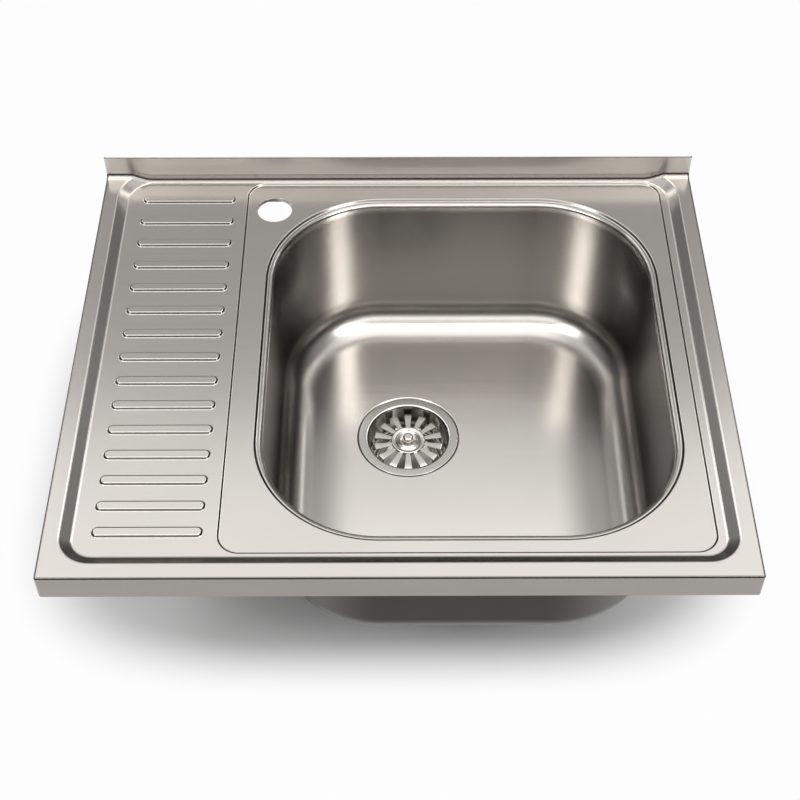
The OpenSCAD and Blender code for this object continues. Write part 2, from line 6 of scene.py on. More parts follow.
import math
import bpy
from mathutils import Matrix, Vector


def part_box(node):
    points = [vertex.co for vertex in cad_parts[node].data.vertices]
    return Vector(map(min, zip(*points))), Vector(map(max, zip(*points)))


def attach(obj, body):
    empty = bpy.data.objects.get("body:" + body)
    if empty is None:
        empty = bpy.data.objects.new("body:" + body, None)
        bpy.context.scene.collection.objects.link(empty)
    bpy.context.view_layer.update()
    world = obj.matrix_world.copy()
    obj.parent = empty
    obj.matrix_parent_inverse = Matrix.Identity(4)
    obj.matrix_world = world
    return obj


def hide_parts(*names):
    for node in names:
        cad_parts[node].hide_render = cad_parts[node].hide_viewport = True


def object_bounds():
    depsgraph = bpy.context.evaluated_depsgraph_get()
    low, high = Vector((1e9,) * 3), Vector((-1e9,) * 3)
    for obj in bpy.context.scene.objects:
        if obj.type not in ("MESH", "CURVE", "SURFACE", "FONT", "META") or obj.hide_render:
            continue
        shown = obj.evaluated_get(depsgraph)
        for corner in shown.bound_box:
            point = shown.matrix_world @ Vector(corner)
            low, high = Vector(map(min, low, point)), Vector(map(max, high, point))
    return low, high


bl_info = {
    "name": "Kitchen sink",
    "version": (1, 0, 0),
    "blender": (4, 5, 0),
    "location": "View3D > Sidebar > Sink",
    "description": "Builds the pressed deck, the bowl and the waste of a kitchen sink",
    "category": "Object",
}

import bmesh
import bpy
from mathutils import Vector

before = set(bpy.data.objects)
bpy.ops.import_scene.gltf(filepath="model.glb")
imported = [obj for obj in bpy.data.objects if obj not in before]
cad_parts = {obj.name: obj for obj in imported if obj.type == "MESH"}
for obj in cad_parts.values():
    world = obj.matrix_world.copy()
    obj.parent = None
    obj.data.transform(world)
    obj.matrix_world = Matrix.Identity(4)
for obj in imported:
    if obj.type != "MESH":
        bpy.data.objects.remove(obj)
packed_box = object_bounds()

# Points nearer than this are taken as one
NEAR = 1e-5
# Sheets are this much thinner than the steel, so that they don't touch what lies behind
SLACK = 2e-5

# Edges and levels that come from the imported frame
LEFT, FRONT, LOWEST = packed_box[0]
RIGHT, BACK, TOP = packed_box[1]
BORDER_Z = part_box("deck")[1][2]
UPSTAND_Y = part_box("upstand")[0][1]
FLOOR_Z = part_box("bowl_pad")[1][2] + 0.0008
WASTE_X, WASTE_Y = ((a + b) / 2 for a, b in list(zip(*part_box("waste_flange")))[:2])
TAP = tuple((a + b) / 2 for a, b in list(zip(*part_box("tap_ring")))[:2])


class DeckSizes(bpy.types.PropertyGroup):
    """Sizes of the pressed deck"""

    sheet: bpy.props.FloatProperty(
        name="Sheet", description="Thickness of the steel", default=0.0008, unit="LENGTH"
    )
    fold: bpy.props.FloatProperty(
        name="Edge fold", description="Radius of border to skirt", default=0.0016, unit="LENGTH"
    )
    lip: bpy.props.FloatProperty(
        name="Lip", description="Width of the lip on the cabinet", default=0.012, unit="LENGTH"
    )
    step: bpy.props.FloatProperty(
        name="Step", description="From the border down to the drainer", default=0.0065, unit="LENGTH"
    )
    platform: bpy.props.FloatProperty(
        name="Platform", description="From the drainer down to it", default=0.0015, unit="LENGTH"
    )
    shoulder: bpy.props.FloatProperty(
        name="Shoulder", description="From the platform down to it", default=0.002, unit="LENGTH"
    )
    rib: bpy.props.FloatProperty(
        name="Rib", description="Height of a rib", default=0.0018, unit="LENGTH"
    )
    ribs: bpy.props.IntProperty(name="Ribs", description="Number of ribs", default=15)
    tap_hole: bpy.props.FloatProperty(
        name="Tap hole", description="Radius of the tap hole", default=0.0175, unit="LENGTH"
    )


class BowlSizes(bpy.types.PropertyGroup):
    """Sizes of the drawn bowl"""

    corner: bpy.props.FloatProperty(
        name="Corner", description="Radius of its corners in plan", default=0.105, unit="LENGTH"
    )
    rim: bpy.props.FloatProperty(
        name="Rim", description="Radius of the rim", default=0.0035, unit="LENGTH"
    )
    bottom: bpy.props.FloatProperty(
        name="Bottom", description="Radius between walls and floor", default=0.034, unit="LENGTH"
    )
    wall: bpy.props.FloatProperty(
        name="Wall", description="Slope of the walls", default=math.radians(89), subtype="ANGLE"
    )


class WasteSizes(bpy.types.PropertyGroup):
    """Sizes of the waste and its basket"""

    rim: bpy.props.FloatProperty(
        name="Rim", description="Radius of the rim", default=0.0515, unit="LENGTH"
    )
    cup: bpy.props.FloatProperty(
        name="Cup", description="Radius of the cup", default=0.041, unit="LENGTH"
    )
    ledge: bpy.props.FloatProperty(
        name="Ledge", description="Radius below the cup's ledge", default=0.0345, unit="LENGTH"
    )
    well: bpy.props.FloatProperty(
        name="Well", description="Radius of the screw's well", default=0.01, unit="LENGTH"
    )
    slots: bpy.props.IntProperty(name="Slots", description="Slots in the cup's floor", default=8)
    hub: bpy.props.FloatProperty(
        name="Hub", description="Radius of the basket's hub", default=0.0175, unit="LENGTH"
    )
    reach: bpy.props.FloatProperty(
        name="Reach", description="Radius over the fins", default=0.0373, unit="LENGTH"
    )
    fins: bpy.props.IntProperty(name="Fins", description="Fins of the basket", default=14)
    metal: bpy.props.FloatProperty(
        name="Metal", description="Thickness of a fin", default=0.0012, unit="LENGTH"
    )


class SteelLook(bpy.types.PropertyGroup):
    """Look of the steel"""

    deck: bpy.props.FloatVectorProperty(
        name="Deck", description="Tone of the deck", subtype="COLOR", default=(0.94, 0.895, 0.841)
    )
    # The upstand's tone makes it lighter than the deck's painted-dark upright faces: painted light
    upstand: bpy.props.FloatVectorProperty(
        name="Upstand", description="Its tone", subtype="COLOR", default=(0.66, 0.629, 0.591)
    )
    bowl: bpy.props.FloatVectorProperty(
        name="Bowl", description="Tone of the bowl", subtype="COLOR", default=(0.74, 0.705, 0.662)
    )
    waste: bpy.props.FloatVectorProperty(
        name="Waste", description="Tone of the cup", subtype="COLOR", default=(1, 0.955, 0.9)
    )
    basket: bpy.props.FloatVectorProperty(
        name="Basket", description="Tone of the basket", subtype="COLOR", default=(0.7, 0.67, 0.63)
    )
    plain: bpy.props.FloatVectorProperty(
        name="Plain", description="Hidden steel", subtype="COLOR", default=(0.58, 0.552, 0.519)
    )
    roughness: bpy.props.FloatProperty(
        name="Roughness", description="Of the deck", default=0.19, subtype="FACTOR"
    )


# Forming tools


def pick(piece, kind, test):
    """Selects the vertices, edges or faces of a piece in edit mode that pass a test."""
    bpy.ops.mesh.select_mode(type=kind)
    bpy.ops.mesh.select_all(action="DESELECT")
    shape = bmesh.from_edit_mesh(piece.data)
    found = {"VERT": shape.verts, "EDGE": shape.edges, "FACE": shape.faces}[kind]
    for part in found:
        if test(part):
            part.select_set(True)
    shape.select_flush(True)
    bmesh.update_edit_mesh(piece.data)


def middle(edge):
    return (edge.verts[0].co + edge.verts[1].co) / 2


def outline(name, box, radii, z, steps):
    """A flat face over a box (left, right, front, back), with radii (front, back) at its
    corners. It stays selected in edit mode, ready to be pressed."""
    left, right, front, back = box
    bpy.ops.object.select_all(action="DESELECT")
    bpy.ops.mesh.primitive_plane_add(size=1)
    piece = bpy.context.object
    piece.name = piece.data.name = name
    bpy.ops.object.mode_set(mode="EDIT")
    bpy.ops.mesh.select_all(action="SELECT")
    bpy.ops.transform.resize(value=(right - left, back - front, 1))
    bpy.ops.transform.translate(value=((left + right) / 2, (front + back) / 2, z))
    for radius, y in zip(radii, (front, back)):
        if radius:
            pick(piece, "VERT", lambda v: abs(v.co.y - y) < NEAR)
            bpy.ops.mesh.bevel(
                offset=radius, offset_type="OFFSET", segments=steps, affect="VERTICES"
            )
    pick(piece, "FACE", lambda f: True)
    return piece


def disc(name, x, y, z, radius, steps):
    """A flat round face, selected in edit mode."""
    bpy.ops.object.select_all(action="DESELECT")
    bpy.ops.mesh.primitive_circle_add(vertices=steps, radius=radius, fill_type="NGON")
    piece = bpy.context.object
    piece.name = piece.data.name = name
    bpy.ops.object.mode_set(mode="EDIT")
    bpy.ops.mesh.select_all(action="SELECT")
    bpy.ops.transform.translate(value=(x, y, z))
    pick(piece, "FACE", lambda f: True)
    return piece


def press(points, up=1):
    """Insets the selected face along the points (inward, height) of a section."""
    for (near, high), (far, low) in zip(points, points[1:]):
        bpy.ops.mesh.inset(thickness=max(far - near, 0), depth=(low - high) * up)


def quarter(steps):
    """Angles of a quarter turn in equal steps."""
    return [math.pi / 2 * i / steps for i in range(steps + 1)]


def open_up():
    """Takes the selected face out, keeps its edge, and leaves edit mode."""
    bpy.ops.mesh.delete(type="ONLY_FACE")
    bpy.ops.object.mode_set(mode="OBJECT")


def pressed(piece, points, up=1):
    """Presses a piece along a section and takes its face out."""
    press(points, up)
    open_up()
    return piece


def step_down(start, height, drop, top_radius, foot_radius, slope, top_steps, foot_steps):
    """Points (inward, height) of a step: a rounded edge, a sloped wall and a rounded foot."""
    both = top_radius + foot_radius
    run = both * math.sin(slope) + (drop - both * (1 - math.cos(slope))) / math.tan(slope)
    points = []
    for i in range(top_steps + 1):
        turn = slope * i / top_steps
        points.append(
            (start + top_radius * math.sin(turn), height - top_radius * (1 - math.cos(turn)))
        )
    for i in range(foot_steps + 1):
        turn = slope * (1 - i / foot_steps)
        points.append(
            (
                start + run - foot_radius * math.sin(turn),
                height - drop + foot_radius * (1 - math.cos(turn)),
            )
        )
    return points


def step_slope(drop, run, both):
    """Slope at which a step whose radii add up to both takes a given run."""
    reach = math.hypot(run, both - drop)
    return math.asin(both / reach) - math.atan2(both - drop, run)


def grown(box, by):
    return (box[0] - by, box[1] + by, box[2] - by, box[3] + by)


def joined(pieces):
    """Joins pieces into the first one and merges the vertices that meet."""
    bpy.ops.object.select_all(action="DESELECT")
    for piece in pieces:
        piece.select_set(True)
    bpy.context.view_layer.objects.active = pieces[0]
    if len(pieces) > 1:
        bpy.ops.object.join()
    bpy.ops.object.mode_set(mode="EDIT")
    bpy.ops.mesh.select_all(action="SELECT")
    bpy.ops.mesh.remove_doubles(threshold=NEAR / 2)
    return pieces[0]


def copied(piece):
    """A copy of a piece, with its own mesh."""
    bpy.ops.object.select_all(action="DESELECT")
    piece.select_set(True)
    bpy.context.view_layer.objects.active = piece
    bpy.ops.object.duplicate()
    return bpy.context.object


def open_mesh(piece):
    """Enters edit mode on one piece, with all of it selected."""
    bpy.ops.object.select_all(action="DESELECT")
    piece.select_set(True)
    bpy.context.view_layer.objects.active = piece
    bpy.ops.object.mode_set(mode="EDIT")
    bpy.ops.mesh.select_all(action="SELECT")


def close_level(piece, z, clear=lambda v: False):
    """Fills between the open edges that lie in one level plane, apart from the clear ones.
    The fill merges points less than 0.03 mm apart, so the piece is enlarged while it runs."""
    bigger = 1000
    bpy.ops.mesh.select_all(action="SELECT")
    bpy.ops.transform.resize(value=(bigger,) * 3, center_override=(0, 0, 0))
    pick(
        piece,
        "EDGE",
        lambda e: (e.is_boundary or e.is_wire)
        and all(abs(v.co.z / bigger - z) < NEAR and not clear(v.co / bigger) for v in e.verts),
    )
    bpy.ops.mesh.fill(use_beauty=True)
    bpy.ops.mesh.select_all(action="SELECT")
    bpy.ops.transform.resize(value=(1 / bigger,) * 3, center_override=(0, 0, 0))


def face_up(piece, inside):
    """Points all faces of an open sheet the same way: up where inside(face) is true."""
    bpy.ops.mesh.select_mode(type="FACE")
    bpy.ops.mesh.select_all(action="SELECT")
    bpy.ops.mesh.normals_make_consistent(inside=False)
    shape = bmesh.from_edit_mesh(piece.data)
    tilt = sum(f.normal.z * f.calc_area() for f in shape.faces if inside(f.calc_center_median()))
    if tilt < 0:
        bpy.ops.mesh.flip_normals()


def thicken(piece, thickness):
    """Gives a sheet its thickness, behind its faces."""
    wall = piece.modifiers.new("wall", "SOLIDIFY")
    wall.thickness = thickness
    wall.offset = -1
    wall.use_even_offset = True
    bpy.ops.object.modifier_apply(modifier=wall.name)


def finish(piece, thickness=0):
    """Thickens a sheet, marks its back, and shades it smooth but for its flats."""
    bpy.ops.object.mode_set(mode="OBJECT")
    if thickness:
        count = len(piece.data.vertices)
        thicken(piece, thickness)
        # The back is marked so that materials can tell it from the face; the bowl's uses it to paint
        # its outside dark as shade
        back = piece.data.attributes.new("back", "FLOAT", "POINT")
        for i, value in enumerate(back.data):
            value.value = i >= count
    bpy.ops.object.shade_smooth_by_angle(angle=math.radians(40))
    flats = piece.modifiers.new("flats", "WEIGHTED_NORMAL")
    flats.keep_sharp = True
    flats.weight = 80
    bpy.ops.object.modifier_apply(modifier=flats.name)


def slide(y, z):
    """Extrudes the selected edges by a step towards the wall and up."""
    bpy.ops.mesh.extrude_region_move(TRANSFORM_OT_translate={"value": (0, y, z)})


# Outlines of the deck's forms and of the bowl: left, right, front, back. The skirt and the
# recess run on past the foot of the upstand, where the sheet is cut.
SKIRT = (LEFT, RIGHT, FRONT, BACK + 0.014)
RECESS = (-0.2865, 0.2865, -0.2355, 0.2569)
PLATFORM = (-0.1545, 0.269, -0.221, 0.2439)
BOWL = (-0.122, 0.2455, -0.199, 0.2129)
CUT_Y = 0.24425

# Radii of their corners in plan, at the front and at the back
SKIRT_CORNERS = (0.0022, 0)
RECESS_CORNERS = (0.030, 0.040)
PLATFORM_CORNERS = (0.020, 0.020)
SHOULDER_CORNERS = (0.113, 0.113)
CORNER_STEPS = 12
BOWL_STEPS = 24

# Over this height and within this width lie the deck's field and forms, and no skirt or lip
FIELD_Z, FIELD_X = 0.017, 0.28

# Radii and slopes in section
LIP_FOLD = 0.0012
RECESS_EDGE, RECESS_FOOT, RECESS_RUN = 0.004, 0.005, 0.0125
FINE_EDGE, FINE_SLOPE = 0.0012, math.radians(42)
SHOULDER_OUT = 0.008

# A rib: its ends, half its width above and at its foot, and its flank
RIB_LEFT, RIB_RIGHT = -0.2600, -0.1655
RIB_HALF, RIB_FOOT, RIB_SLOPE = 0.00575, 0.00602, math.radians(48)
RIB_FIRST, RIB_PITCH, RIB_GROWTH = 0.0513, 0.0275, 0.00035


def rib_places(count):
    """Distances of the ribs' middles from the front edge. They lie wider apart further back."""
    return [RIB_FIRST + i * RIB_PITCH + i * (i - 1) / 2 * RIB_GROWTH for i in range(count)]


def make_deck(sizes):
    """The pressed deck with its skirt, lips and upstand, as one folded sheet."""
    fold, low = sizes.fold, LIP_FOLD
    drainer_z = BORDER_Z - sizes.step
    platform_z = drainer_z - sizes.platform
    shoulder_z = platform_z - sizes.shoulder

    # The skirt runs up from its lower fold, over the edge and on to the border
    turns = quarter(5)
    rise = [(0, low), (0, BORDER_Z - fold)]
    rise += [(fold - fold * math.cos(t), BORDER_Z - fold + fold * math.sin(t)) for t in turns[1:]]
    pieces = [pressed(outline("skirt", SKIRT, SKIRT_CORNERS, low, 5), rise)]

    # Its lower fold turns inward to the lip, which ends in square corners
    lip = outline("lip", SKIRT, SKIRT_CORNERS, low, 5)
    bpy.ops.mesh.flip_normals()
    turn_in = [(low - low * math.cos(t), low - low * math.sin(t)) for t in turns]
    pieces.append(pressed(lip, turn_in, -1))
    pieces.append(pressed(outline("lip_edge", grown(SKIRT, -sizes.lip), (0, 0), 0, 1), []))

    # The recess, the platform and the shoulder step down one after the other
    slope = step_slope(sizes.step, RECESS_RUN, RECESS_EDGE + RECESS_FOOT)
    recess = outline("recess", RECESS, RECESS_CORNERS, BORDER_Z, CORNER_STEPS)
    points = step_down(0, BORDER_Z, sizes.step, RECESS_EDGE, RECESS_FOOT, slope, 6, 6)
    pieces.append(pressed(recess, points))
    platform = outline("platform", PLATFORM, PLATFORM_CORNERS, drainer_z, CORNER_STEPS)
    points = step_down(0, drainer_z, sizes.platform, FINE_EDGE, FINE_EDGE, FINE_SLOPE, 4, 4)
    pieces.append(pressed(platform, points))
    mouth = grown(BOWL, SHOULDER_OUT)
    shoulder = outline("shoulder", mouth, SHOULDER_CORNERS, platform_z, BOWL_STEPS)
    points = step_down(0, platform_z, sizes.shoulder, FINE_EDGE, FINE_EDGE, FINE_SLOPE, 4, 4)
    # The shoulder's inner edge is broken
    points += [(0.0041, shoulder_z), (0.0043, shoulder_z - 0.0002)]
    pieces.append(pressed(shoulder, points))

    # One rib, copied along the drainer
    spread = RIB_FOOT - RIB_HALF
    first = FRONT + RIB_FIRST
    round_end = RIB_FOOT * 0.94
    box = (RIB_LEFT - spread, RIB_RIGHT + spread, first - RIB_FOOT, first + RIB_FOOT)
    rib = outline("rib", box, (round_end, round_end), drainer_z, 8)
    points = step_down(0, drainer_z, sizes.rib, FINE_EDGE, FINE_EDGE, RIB_SLOPE, 4, 4)
    press([(near, 2 * drainer_z - high) for near, high in points])
    bpy.ops.object.mode_set(mode="OBJECT")
    pieces.append(rib)
    for place in rib_places(sizes.ribs)[1:]:
        copy = copied(rib)
        open_mesh(copy)
        bpy.ops.transform.translate(value=(0, FRONT + place - first, 0))
        bpy.ops.object.mode_set(mode="OBJECT")
        pieces.append(copy)

    # The tap hole with its broken edge
    hole = disc("tap_hole", *TAP, platform_z, sizes.tap_hole + 0.0006, 64)
    edge = ((0, 0), (0.0002, 0.00003), (0.0004, 0.00012), (0.0006, 0.0004))
    pieces.append(pressed(hole, [(near, platform_z - depth) for near, depth in edge]))

    deck = joined(pieces)
    deck.name = deck.data.name = "sink_deck"
    for z in (0, BORDER_Z, drainer_z, platform_z):
        close_level(deck, z, lambda v: v.y > SKIRT[3] - 0.0005)

    fold_up(deck, sizes)
    finish(deck, sizes.sheet - SLACK)
    return deck


def fold_up(deck, sizes):
    """Folds the upstand and the back lip from the flat back of the deck."""

    def at_cut(edge):
        return edge.is_boundary and all(abs(v.co.y - CUT_Y) < NEAR for v in edge.verts)

    def at_foot(edge):
        return edge.is_boundary and all(
            v.co.y > BACK - NEAR and abs(v.co.z - LIP_FOLD) < NEAR for v in edge.verts
        )

    # The sheet is cut at the foot of the upstand
    bpy.ops.mesh.select_all(action="SELECT")
    bpy.ops.mesh.bisect(plane_co=(0, CUT_Y, 0), plane_no=(0, 1, 0), clear_outer=True)
    face_up(deck, lambda c: c.z > FIELD_Z and abs(c.x) < FIELD_X)

    # The skirts and lips run on to the back wall
    pick(deck, "EDGE", lambda e: at_cut(e) and middle(e).z < FIELD_Z)
    slide(BACK - sizes.sheet - CUT_Y, 0)

    # The fillet, the leaning foot and the face of the upstand
    pick(deck, "EDGE", lambda e: at_cut(e) and middle(e).z > FIELD_Z)
    radius, lean = 0.0036, math.radians(7)
    path = [
        (radius * math.sin(t), radius * (1 - math.cos(t)))
        for t in [(math.pi / 2 - lean) * i / 6 for i in range(7)]
    ]
    rest = UPSTAND_Y - CUT_Y - path[-1][0]
    path.append((UPSTAND_Y - CUT_Y, path[-1][1] + rest / math.tan(lean)))
    for (y, z), (further, higher) in zip(path, path[1:]):
        slide(further - y, higher - z)
    # It rises to a level edge, and is hemmed over its back down to the lip
    hem = BACK - UPSTAND_Y
    crown = TOP - hem / 2
    slide(0, 0.005)
    bpy.ops.transform.resize(value=(1, 1, 0), center_override=(0, 0, crown))
    for i in range(6):
        a, b = math.pi * i / 6, math.pi * (i + 1) / 6
        slide(hem / 2 * (math.cos(a) - math.cos(b)), hem / 2 * (math.sin(b) - math.sin(a)))
    slide(0, LIP_FOLD - crown)

    # The back lip lies between the side lips
    inner = RIGHT - sizes.lip - 0.0001
    for x in (-inner, inner):
        pick(deck, "FACE", lambda f: all(v.co.y > BACK - NEAR for v in f.verts))
        bpy.ops.mesh.bisect(plane_co=(x, 0, 0), plane_no=(1, 0, 0))
    pick(deck, "EDGE", lambda e: at_foot(e) and abs(middle(e).x) > inner)
    slide(0, -LIP_FOLD)
    pick(deck, "EDGE", lambda e: at_foot(e) and abs(middle(e).x) < inner)
    turns = quarter(5)
    for a, b in zip(turns, turns[1:]):
        slide(LIP_FOLD * (math.cos(b) - math.cos(a)), LIP_FOLD * (math.sin(a) - math.sin(b)))
    slide(LIP_FOLD - sizes.lip, 0)

    # The corners between the skirts and the upstand are welded shut
    for side in (-1, 1):
        pick(
            deck,
            "EDGE",
            lambda e: e.is_boundary
            and all(
                v.co.x * side > RIGHT - NEAR
                and CUT_Y - NEAR < v.co.y < UPSTAND_Y + NEAR
                and v.co.z > BORDER_Z - sizes.fold - NEAR
                for v in e.verts
            ),
        )
        bpy.ops.mesh.edge_face_add()
    face_up(deck, lambda c: c.z > FIELD_Z and abs(c.x) < FIELD_X and c.y < CUT_Y)


def make_bowl(sizes, deck_sizes):
    """The drawn bowl: a joggled flange, a rolled rim, walls and a seat for the waste."""
    shoulder_z = BORDER_Z - deck_sizes.step - deck_sizes.platform - deck_sizes.shoulder
    flange_z = shoulder_z - deck_sizes.sheet
    flange = 0.007
    corner = sizes.corner + flange
    bowl = outline("sink_bowl", grown(BOWL, flange), (corner, corner), flange_z, BOWL_STEPS)
    # The flange lies under the deck's shoulder and rises to it at the mouth
    points = [(0, flange_z), (0.00334, flange_z), (0.0034, shoulder_z - 0.00015)]
    points += step_down(
        0.0035, shoulder_z, shoulder_z - FLOOR_Z, sizes.rim, sizes.bottom, sizes.wall, 8, 14
    )
    press(points)
    open_up()
    # The seat is pressed into the floor, with a hole for the cup
    seat_radius, drop = 0.0535, 0.0026
    seat = disc("seat", WASTE_X, WASTE_Y, FLOOR_Z, seat_radius, 96)
    points = step_down(0, FLOOR_Z, drop, 0.0015, 0.0015, math.radians(60), 4, 4)
    press(points + [(0.0085, FLOOR_Z - drop)])
    open_up()
    joined([bowl, seat])
    close_level(bowl, FLOOR_Z)
    face_up(bowl, lambda c: c.z < FLOOR_Z + 0.001)
    finish(bowl, deck_sizes.sheet - SLACK)
    return bowl


def make_cup(sizes):
    """The steel rim and cup of the waste, with slots in its floor."""
    low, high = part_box("waste_flange")
    metal = 0.001
    rim_z, well_z = high[2], low[2] + metal
    ledge_z, floor_z = well_z + 0.017, well_z + 0.008
    slot_out, slot_in, screw_hole = 0.0225, 0.0125, 0.00305
    slot_half, spacing = 7.6, 360 / sizes.slots

    # Its section as (radius, height), from the rim's edge in to the screw's hole. Each wall
    # ends in a rounded foot, a flat and the rounded brink of the next wall
    edge, bend, foot, brink = 0.0008, 0.0025, 0.0012, 0.001
    turns = quarter(4)
    section = [(sizes.rim, rim_z - metal)]
    section += [
        (sizes.rim - edge * (1 - math.cos(t)), rim_z - edge * (1 - math.sin(t))) for t in turns
    ]
    section += [
        (sizes.cup + bend * (1 - math.sin(t)), rim_z - bend * (1 - math.cos(t))) for t in quarter(6)
    ]
    for wall, z, flat, inner in (
        (sizes.cup, ledge_z, (), sizes.ledge),
        (sizes.ledge, floor_z, (slot_out, slot_in), sizes.well),
        (sizes.well, well_z, (screw_hole,), None),
    ):
        section += [(wall - foot * (1 - math.cos(t)), z + foot * (1 - math.sin(t))) for t in turns]
        section += [(radius, z) for radius in flat]
        if inner:
            section += [
                (inner + brink * (1 - math.sin(t)), z - brink * (1 - math.cos(t))) for t in turns
            ]
    cup = disc("waste_cup", WASTE_X, WASTE_Y, rim_z - metal, sizes.rim, 96)
    press([(sizes.rim - radius, z) for radius, z in section])
    open_up()
    bpy.ops.object.mode_set(mode="EDIT")

    def in_slot(face):
        spot = face.calc_center_median() - Vector((WASTE_X, WASTE_Y, floor_z))
        turn = math.degrees(math.atan2(spot.y, spot.x)) % spacing
        return (
            slot_in < spot.xy.length < slot_out
            and abs(spot.z) < NEAR
            and min(turn, spacing - turn) < slot_half
        )

    pick(cup, "FACE", in_slot)
    bpy.ops.mesh.delete(type="FACE")
    face_up(cup, lambda c: c.z > rim_z - NEAR)
    finish(cup, metal - SLACK)
    return cup


ROUND_STEPS = 84
HUB_RISE = 0.0016


def make_hub(sizes, fin_z):
    """The hub, a dished plate with two ridges round the knob, and its guide tube."""
    metal, bore = sizes.metal, sizes.hub - 0.00308
    hub = disc("basket_strainer", WASTE_X, WASTE_Y, fin_z - metal, sizes.hub, ROUND_STEPS)
    section = [(0, -metal), (0, 0.0004), (0.0002, 0.0009), (0.0007, 0.0012), (0.0012, 0.0013)]
    for ridge in (0.0128, 0.0098):
        section += [
            (sizes.hub - ridge + shift, rise)
            for shift, rise in (
                (-0.0009, 0.0010),
                (-0.0005, 0.0007),
                (-0.0001, 0.0009),
                (0.0004, 0.0014),
                (0.0009, HUB_RISE),
                (0.0014, 0.0014),
            )
        ]
    section += [(0.0105, 0.0006), (0.0140, 0.0006), (bore, 0.0002), (bore, -0.002)]
    press([(near, fin_z + rise) for near, rise in section])
    open_up()
    tube = disc("guide", WASTE_X, WASTE_Y, fin_z - metal, sizes.hub, ROUND_STEPS)
    bpy.ops.mesh.flip_normals()
    under_z = fin_z - metal
    guide_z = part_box("plug_disc")[1][2] + 0.0073
    press(
        [(0, under_z), (0.011, under_z), (0.012, under_z - 0.001), (0.012, guide_z + 0.0004)]
        + [(0.0124, guide_z), (bore, guide_z), (bore, fin_z - 0.002)],
        -1,
    )
    open_up()
    joined([hub, tube])
    bpy.ops.mesh.normals_make_consistent(inside=False)
    bpy.ops.object.mode_set(mode="OBJECT")
    return hub


def make_fin(sizes, fin_z, foot_z):
    """One fin with its leg: a tapered strip, bent down at its end."""
    bpy.ops.object.select_all(action="DESELECT")
    bpy.ops.mesh.primitive_plane_add(size=1)
    fin = bpy.context.object
    fin.name = fin.data.name = "fin"
    bpy.ops.object.mode_set(mode="EDIT")
    bpy.ops.mesh.select_all(action="SELECT")
    stub, width, bend_x = 0.001, 0.004, 0.0340
    bpy.ops.transform.resize(value=(stub, width, 1))
    bpy.ops.transform.translate(value=(sizes.hub - stub / 2, 0, fin_z))
    pick(fin, "EDGE", lambda e: min(v.co.x for v in e.verts) > sizes.hub - NEAR)
    x = sizes.hub
    for further, wider in ((0.0225, 1.3), (0.0285, 1.22), (bend_x, 1.15)):
        bpy.ops.mesh.extrude_region_move(TRANSFORM_OT_translate={"value": (further - x, 0, 0)})
        bpy.ops.transform.resize(value=(1, wider, 1), center_override=(further, 0, fin_z))
        x = further
    radius = sizes.reach - bend_x
    turns = quarter(5)
    for a, b in zip(turns, turns[1:]):
        out, down = math.sin(b) - math.sin(a), math.cos(b) - math.cos(a)
        bpy.ops.mesh.extrude_region_move(
            TRANSFORM_OT_translate={"value": (radius * out, 0, radius * down)}
        )
    z = fin_z - radius
    for lower, wider in ((fin_z - 0.010, 0.8), (foot_z + 0.0012, 1)):
        bpy.ops.mesh.extrude_region_move(TRANSFORM_OT_translate={"value": (0, 0, lower - z)})
        bpy.ops.transform.resize(value=(1, wider, 1), center_override=(0, 0, lower))
        z = lower
    face_up(fin, lambda c: True)
    bpy.ops.object.mode_set(mode="OBJECT")
    thicken(fin, sizes.metal)
    edge = fin.modifiers.new("edge", "BEVEL")
    edge.width = 0.00022
    edge.segments = 2
    edge.limit_method = "ANGLE"
    edge.angle_limit = math.radians(50)
    bpy.ops.object.modifier_apply(modifier=edge.name)
    open_mesh(fin)
    bpy.ops.transform.translate(value=(WASTE_X, WASTE_Y, 0))
    bpy.ops.object.mode_set(mode="OBJECT")
    return fin


def make_foot_ring(foot_z):
    """The ring that holds the legs together."""
    base, top = foot_z + 0.0005, foot_z + 0.0025
    ring = disc("ring", WASTE_X, WASTE_Y, base, 0.0394, ROUND_STEPS)
    press(
        [(0, base), (0, top - 0.0006), (0.0002, top - 0.0002), (0.0006, top)]
        + [(0.0030, top), (0.0034, top - 0.0002), (0.0036, top - 0.0006), (0.0036, base)]
    )
    bpy.ops.mesh.delete(type="ONLY_FACE")
    pick(ring, "EDGE", lambda e: e.is_boundary)
    bpy.ops.mesh.bridge_edge_loops()
    bpy.ops.mesh.select_all(action="SELECT")
    bpy.ops.mesh.normals_make_consistent(inside=False)
    bpy.ops.object.mode_set(mode="OBJECT")
    return ring


def make_basket(sizes):
    """The basket: a hub with its guide tube, fins on legs, and a foot ring."""
    low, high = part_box("strainer_basket")
    foot_z, fin_z = low[2], high[2] - HUB_RISE
    hub = make_hub(sizes, fin_z)
    fin = make_fin(sizes, fin_z, foot_z)
    fins = [fin] + [copied(fin) for _ in range(sizes.fins - 1)]
    for i, each in enumerate(fins):
        open_mesh(each)
        bpy.ops.transform.rotate(
            value=(i + 0.5) * 2 * math.pi / sizes.fins,
            orient_axis="Z",
            center_override=(WASTE_X, WASTE_Y, 0),
        )
        bpy.ops.object.mode_set(mode="OBJECT")
    joined([hub, make_foot_ring(foot_z)] + fins)
    finish(hub)
    return hub


